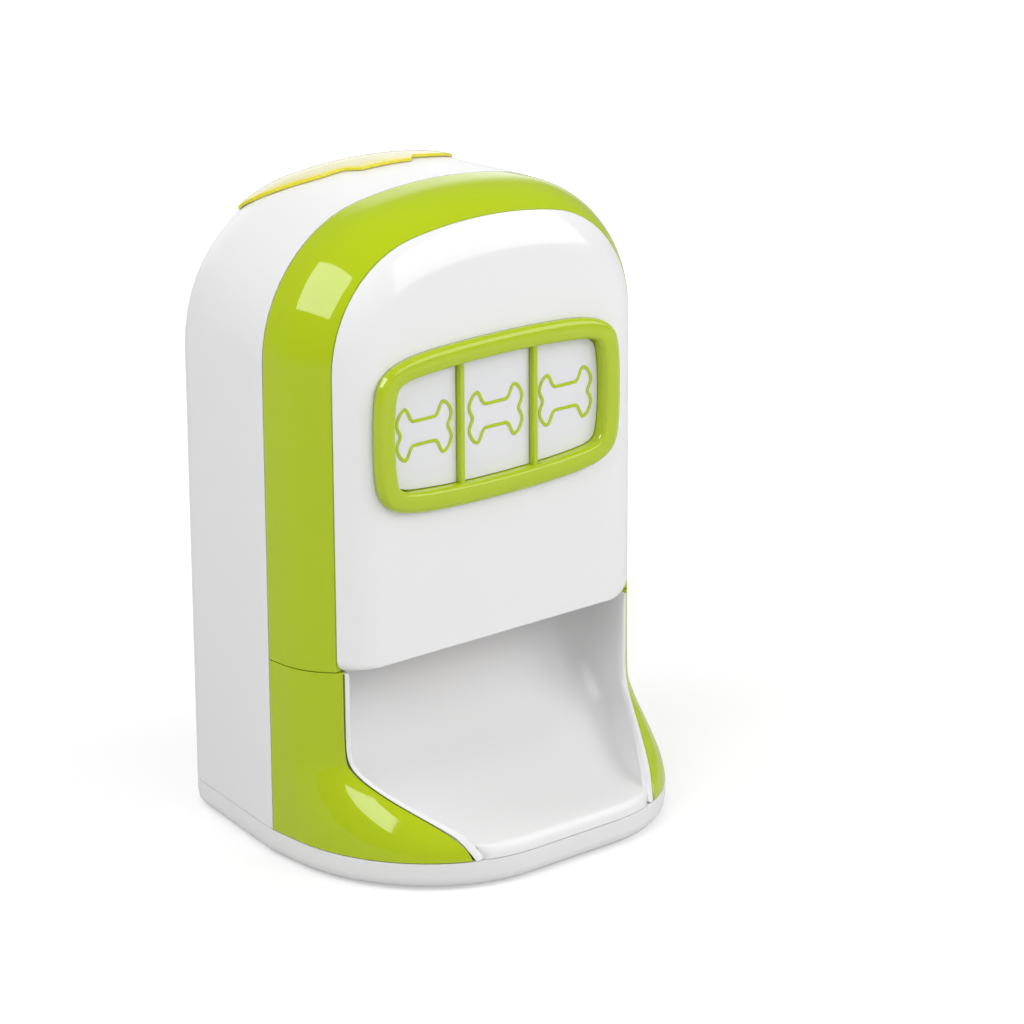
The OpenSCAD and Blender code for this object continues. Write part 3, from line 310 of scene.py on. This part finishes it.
# Clear tint: pale in the body, with a painted deeper yellow along the rim standing in for light
# carried lengthwise through the tint; pale room in its gloss
flow_mm, wipe_mm = 40, 12
lid_san = blank("tinted_yellow_san")
place = add(lid_san, "ShaderNodeTexCoord", {}).outputs["Object"]
flow = add(lid_san, "ShaderNodeTexNoise", {
    "Vector": place, "Scale": 1000 / flow_mm, "Detail": 3.0})
tone = add(lid_san, "ShaderNodeMix", {
    0: flow.outputs["Fac"], 6: linear("#ece8b2"), 7: linear("#eae4a6")}, data_type="RGBA")
# Painted edge glow: near the rim the colour is mixed towards a deep yellow, standing in for light
# carried along it
edge = add(lid_san, "ShaderNodeAttribute", {}, attribute_name="rim")
rim_glow_share = add(lid_san, "ShaderNodeMapRange", {
    "Value": edge.outputs["Fac"], "From Min": 0.3, "From Max": 0.95})
tone = add(lid_san, "ShaderNodeMix", {
    0: rim_glow_share.outputs["Result"], 6: tone.outputs[2], 7: linear("#f4ea30")}, data_type="RGBA")
wipe = add(lid_san, "ShaderNodeTexNoise", {
    "Vector": place, "Scale": 1000 / wipe_mm, "Detail": 3.0})
gloss = add(lid_san, "ShaderNodeMapRange", {
    "Value": wipe.outputs["Fac"], "To Min": 0.08, "To Max": 0.16})
shader = add(lid_san, "ShaderNodeBsdfPrincipled", {
    "Base Color": tone.outputs[2], "Roughness": gloss.outputs["Result"], "IOR": 1.57,
    "Transmission Weight": 0.2})
add(lid_san, "ShaderNodeOutputMaterial", {"Surface": shader.outputs["BSDF"]})
lid = moulding("refill_lid", "hopper_lid", "lid", lid_san, rim_mm=0.7, levels=2)
# Nearness to the rim, where a deeper yellow is painted in for the light that the tint carries
# lengthwise along it
rim_reach = 0.006
bm = merged("hopper_lid")
rims = list(dict.fromkeys(v for e in sharp(bm) for v in e.verts))
tree = KDTree(len(rims))
for i, vert in enumerate(rims):
    tree.insert(vert.co, i)
tree.balance()
bm.free()
rim = lid.data.attributes.new("rim", "FLOAT", "POINT")
for i, vert in enumerate(lid.data.vertices):
    rim.data[i].value = max(0, 1 - tree.find(vert.co)[2] / rim_reach)

# Hinge pin: a straight steel rod through the knuckles of the lid, with chamfered ends.
# Drawn wire, zinc plated, pressed into the lugs of the rear shell.
moulding("lid_hinge_rod", "lid_hinge_pin", "casing", zinc_steel, rim_mm=0.3)

# Battery door: a flat white plate in the back with a finger grip of four grooves and a screw hole.
# Moulded like the rear shell that it sits flush in.
low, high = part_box("battery_door")
hole = sum(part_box("door_screw"), Vector()) / 2
hole_radius, hole_depth, hole_cell = 0.0021, 0.0015, 0.004
grip_half, grip_drop = 0.012, 0.018
groove_half, groove_pitch, groove_slope, groove_depth = 0.001, 0.0034, 0.0004, 0.001
grooves = [hole.z - grip_drop - groove_pitch * i for i in range(4)]
bm = bmesh.new()
bmesh.ops.create_cube(bm, size=1)
bmesh.ops.scale(bm, vec=high - low, verts=bm.verts)
bmesh.ops.translate(bm, vec=(low + high) / 2, verts=bm.verts)
round_edges(bm, bm.edges[:], mm=0.4)
# Cuts that part the face into a cell for the hole and a strip for each groove
across, up = Vector((1, 0, 0)), Vector((0, 0, 1))
cuts = [(across, x) for x in (-grip_half, -hole_cell, hole_cell, grip_half)]
cuts += [(up, hole.z - hole_cell), (up, hole.z + hole_cell)]
cuts += [(up, z + h) for z in grooves for h in (-groove_half, groove_half)]
for way, at in cuts:
    bmesh.ops.bisect_plane(bm, geom=bm.verts[:] + bm.edges[:] + bm.faces[:],
                           plane_co=way * at, plane_no=way)
# Faces that look straight back
backward = 0.99
outer = [f for f in bm.faces if f.normal.y > backward]
dents = [f for f in outer for z in grooves
         if abs(f.calc_center_median().x) < grip_half
         and abs(f.calc_center_median().z - z) < groove_half / 2]
bmesh.ops.inset_region(bm, faces=dents, thickness=groove_slope, depth=-groove_depth,
                       use_boundary=True, use_even_offset=True)
mouth = Vector((0, high.y, hole.z))
cell = min(outer, key=lambda f: (f.calc_center_median() - mouth).length)
square = cell.edges[:]
bmesh.ops.delete(bm, geom=[cell], context="FACES_ONLY")
face_back = Matrix.Rotation(-math.pi / 2, 4, "X")
ring = circle(bm, hole_radius, Matrix.Translation(mouth) @ face_back)
bmesh.ops.bridge_loops(bm, edges=square + ring)
close_wall(bm, ring, Vector((0, -hole_depth, 0)))
bmesh.ops.recalc_face_normals(bm, faces=bm.faces)
settle(bm, "battery_door_plate", "battery_door", "casing", satin_white)

# Door screw: a small steel screw with a cross recess, sunk in the hole of the door.
# Cold-headed wire, zinc plated.
bm = bmesh.new()
head = Vector((0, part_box("door_screw")[1].y, hole.z))
cross_head(bm, Matrix.Translation(head) @ face_back, radius=0.0019, depth=0.0009, recess=0.0011)
bmesh.ops.recalc_face_normals(bm, faces=bm.faces)
settle(bm, "door_screw_head", "door_screw", "casing", zinc_steel)

# Power switch: a slide switch behind a slot in the back, with three grooves across its knob.
# Black ABS; the body is soldered to the control board behind the shell.

# Satin black: dark with a weak broad sheen
dark_abs = moulded_plastic("satin_black_abs", "#232326", "#1d1d20",
                           rough=0.35, grain_mm=0.8, bump=0.06)
strips, dent_slope, dent_depth = 7, 0.0002, 0.0005
bm = merged("power_switch_knob")
low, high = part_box("power_switch_knob")
marks = [low.x + (high.x - low.x) * i / strips for i in range(1, strips)]
for at in marks:
    bmesh.ops.bisect_plane(bm, geom=bm.verts[:] + bm.edges[:] + bm.faces[:],
                           plane_co=(at, 0, 0), plane_no=(1, 0, 0))
# Every second strip is sunk
dents = [f for f in bm.faces if f.normal.y > backward and any(
    marks[i] < f.calc_center_median().x < marks[i + 1] for i in (0, 2, 4))]
bmesh.ops.inset_region(bm, faces=dents, thickness=dent_slope, depth=-dent_depth,
                       use_boundary=True, use_even_offset=True)
round_edges(bm, sharp(bm), mm=0.12)
settle(bm, "switch_knob", "power_switch_knob", "power_knob_body", dark_abs)
moulding("switch_body", "power_switch_body", "casing", dark_abs, rim_mm=0.3)

# Works inside the casing: hopper, plates, rotor, gears, motor, boards and battery box.
# They keep their CAD shape and take the finish of the material that each is made of.

# Natural ABS: greyish white and dull
works_abs = moulded_plastic("natural_abs", "#d6d8da", "#cdd0d2",
                            rough=0.45, grain_mm=0.9, bump=0.06)
# Coloured acetal: warm orange with a waxy sheen
rotor_pom = moulded_plastic("orange_pom", "#e08a35", "#d8802c",
                            rough=0.4, grain_mm=0.9, bump=0.05)
# Natural acetal: creamy white with a waxy sheen
gear_pom = moulded_plastic("natural_pom", "#ebe7da", "#e2decf",
                           rough=0.4, grain_mm=0.9, bump=0.05)
# Solder mask over glass fibre: dark green and half glossy
board_green = moulded_plastic("solder_mask_green", "#1d5b36", "#174d2d",
                              rough=0.35, grain_mm=0.6, bump=0.05)
# Shrunk film over the cells: slate grey with a film gloss
cell_sleeve = moulded_plastic("shrunk_cell_sleeve", "#4d565b", "#454d52",
                              rough=0.3, grain_mm=1.2, bump=0.02)
# Plated motor can: grey metal, a little rougher than the screws
motor_can = plated_metal("plated_motor_can", "#b4b6b8", rough=0.35, pitch_mm=1.2)
# Turned brass: warm yellow metal with fine lines
turned_brass = plated_metal("turned_brass", "#c9a35c", rough=0.3, pitch_mm=0.5)
finishes = {
    "works_plastic": works_abs, "rotor_plastic": rotor_pom, "gear_plastic": gear_pom,
    "board": board_green, "cell_jacket": cell_sleeve, "steel": zinc_steel,
    "motor_steel": motor_can, "bush_brass": turned_brass, "dark_plastic": dark_abs,
}
for subpart in frame["record"]["subparts"]:
    if subpart["material_slot"] in finishes:
        mesh = frame["nodes"][subpart["node"]].data
        mesh.materials.clear()
        mesh.materials.append(finishes[subpart["material_slot"]])

# Studio: a white paper floor that keeps a soft shadow, a pale room and large soft lamps.
# The lamps stand where the photograph's reflections on the band, the panel and the dome put them.
floor_half = 8
bm = bmesh.new()
bmesh.ops.create_grid(bm, x_segments=1, y_segments=1, size=floor_half)
mesh = bpy.data.meshes.new("floor")
bm.to_mesh(mesh)
bm.free()
floor = bpy.data.objects.new("floor", mesh)
bpy.context.scene.collection.objects.link(floor)
white = [1.0, 1.0, 1.0, 1.0]


def seen_rays(material):
    """The Light Path node, and 1 on rays from the camera or through clear plastic."""
    path = add(material, "ShaderNodeLightPath", {})
    seen = add(material, "ShaderNodeMath", {
        0: path.outputs["Is Camera Ray"], 1: path.outputs["Is Transmission Ray"]},
        operation="MAXIMUM")
    return path, seen


# White paper: lifted to white for the eye, less so near the object, where its shadow falls
sweep = blank("white_paper_sweep")
place = add(sweep, "ShaderNodeTexCoord", {}).outputs["Object"]
away = add(sweep, "ShaderNodeVectorMath", {0: place}, operation="LENGTH")
lift = add(sweep, "ShaderNodeMapRange", {
    "Value": away.outputs["Value"], "From Min": 0.12, "From Max": 1.2,
    "To Min": 0.45, "To Max": 0.85})
path, seen = seen_rays(sweep)
# Reflections of the paper get a smaller share of the lift
sheen = add(sweep, "ShaderNodeMath", {0: path.outputs["Is Glossy Ray"], 1: 0.3},
            operation="MULTIPLY")
seen = add(sweep, "ShaderNodeMath", {0: seen.outputs[0], 1: sheen.outputs[0]},
           operation="MAXIMUM")
share = add(sweep, "ShaderNodeMath", {0: seen.outputs[0], 1: lift.outputs["Result"]},
            operation="MULTIPLY")
paper = add(sweep, "ShaderNodeBsdfDiffuse", {"Color": linear("#cccccc")})
glow = add(sweep, "ShaderNodeEmission", {"Color": white, "Strength": share.outputs[0]})
both = add(sweep, "ShaderNodeAddShader", {0: paper.outputs["BSDF"], 1: glow.outputs["Emission"]})
add(sweep, "ShaderNodeOutputMaterial", {"Surface": both.outputs["Shader"]})
mesh.materials.append(sweep)


def heading(turn, rise):
    """Unit vector towards a turn from the front, to the right, and a rise, in degrees."""
    turn, rise = math.radians(turn), math.radians(rise)
    return Vector((math.sin(turn) * math.cos(rise), -math.cos(turn) * math.cos(rise),
                   math.sin(rise)))


# The room is brighter behind the object, where a paper backdrop takes the light
backdrop, fades_out, fades_in = heading(154, 5), math.radians(36), math.radians(10)
world = bpy.data.worlds.new("pale_room")
bpy.context.scene.world = world
world.use_nodes = True
world.node_tree.nodes.clear()
path, seen = seen_rays(world)
look = add(world, "ShaderNodeTexCoord", {}).outputs["Generated"]
turned = add(world, "ShaderNodeVectorMath", {0: look, 1: backdrop}, operation="DOT_PRODUCT")
level = add(world, "ShaderNodeMapRange", {
    "Value": turned.outputs["Value"], "From Min": math.cos(fades_out),
    "From Max": math.cos(fades_in), "To Min": 0.4, "To Max": 1.35},
    interpolation_type="SMOOTHSTEP")
# Sockets 2 and 3 are the two numbers of a Mix node
level = add(world, "ShaderNodeMix", {0: seen.outputs[0], 2: level.outputs["Result"], 3: 1.0})
room = add(world, "ShaderNodeBackground", {"Color": white, "Strength": level.outputs[0]})
add(world, "ShaderNodeOutputWorld", {"Surface": room.outputs["Background"]})


def soft_box(name, aim, turn, rise, distance, size, watts):
    """A rectangular soft lamp, seen from its aim at a turn from the front and a rise in degrees."""
    light = bpy.data.lights.new(name, "AREA")
    light.shape = "RECTANGLE"
    light.size, light.size_y = size
    light.energy = watts
    lamp = bpy.data.objects.new(name, light)
    bpy.context.scene.collection.objects.link(lamp)
    lamp.location = Vector(aim) + heading(turn, rise) * distance
    lamp.rotation_euler = heading(turn, rise).to_track_quat("Z", "Y").to_euler()
    lamp.visible_camera = False
    return lamp


# The left lamp's reflection is stronger than its light, and the right lamp's is weaker
shoulder, panel_top, tray_back, crown = (
    (-0.08, -0.02, 0.26), (0, -0.03, 0.27), (0, -0.03, 0.1), (0, 0, 0.29))
soft_box("left_box", shoulder, turn=-89, rise=45, distance=1.2, size=(1.4, 0.78), watts=8.8)
left_gloss = soft_box("left_gloss", shoulder, turn=-89, rise=45, distance=1.19,
                      size=(1.4, 0.78), watts=12)
left_gloss.visible_diffuse = False
soft_box("right_box", panel_top, turn=40, rise=25, distance=1.5, size=(1.4, 1.0), watts=9)
right_fill = soft_box("right_fill", panel_top, turn=40, rise=25, distance=1.51,
                      size=(1.4, 1.0), watts=3.2)
front_fill = soft_box("front_fill", tray_back, turn=-30, rise=24, distance=1.7,
                      size=(1.2, 1.0), watts=2.6)
top_box = soft_box("top_box", crown, turn=180, rise=82, distance=1.5, size=(1.3, 1.3), watts=3.3)
for lamp in (right_fill, front_fill, top_box):
    lamp.visible_glossy = False

# Camera: stands where the photograph was taken from, as its straight edges and seams give it.
# A long lens, aimed a little beside the object, which is not in the middle of the frame.
azimuth, elevation, roll = math.radians(39.81), math.radians(17.675), math.radians(-0.247)
distance, lens_mm, sensor_mm, far_end = 1.801166, 140.17, 36, 50
aside, below = 0.0347, 0.00307
back = Vector((-math.sin(azimuth) * math.cos(elevation), -math.cos(azimuth) * math.cos(elevation),
               math.sin(elevation)))
right = Vector((math.cos(azimuth), -math.sin(azimuth), 0))
middle = Vector((0, 0.005, 0.144))
aim = middle + right * aside - back.cross(right) * below
lens = bpy.data.cameras.new("photo_camera")
lens.sensor_width, lens.lens, lens.clip_end = sensor_mm, lens_mm, far_end
camera = bpy.data.objects.new("photo_camera", lens)
bpy.context.scene.collection.objects.link(camera)
camera.location = middle + back * distance
turn = (camera.location - aim).to_track_quat("Z", "Y") @ Quaternion((0, 0, 1), roll)
camera.rotation_euler = turn.to_euler()
bpy.context.scene.camera = camera
bpy.context.scene.view_settings.view_transform = "Standard"
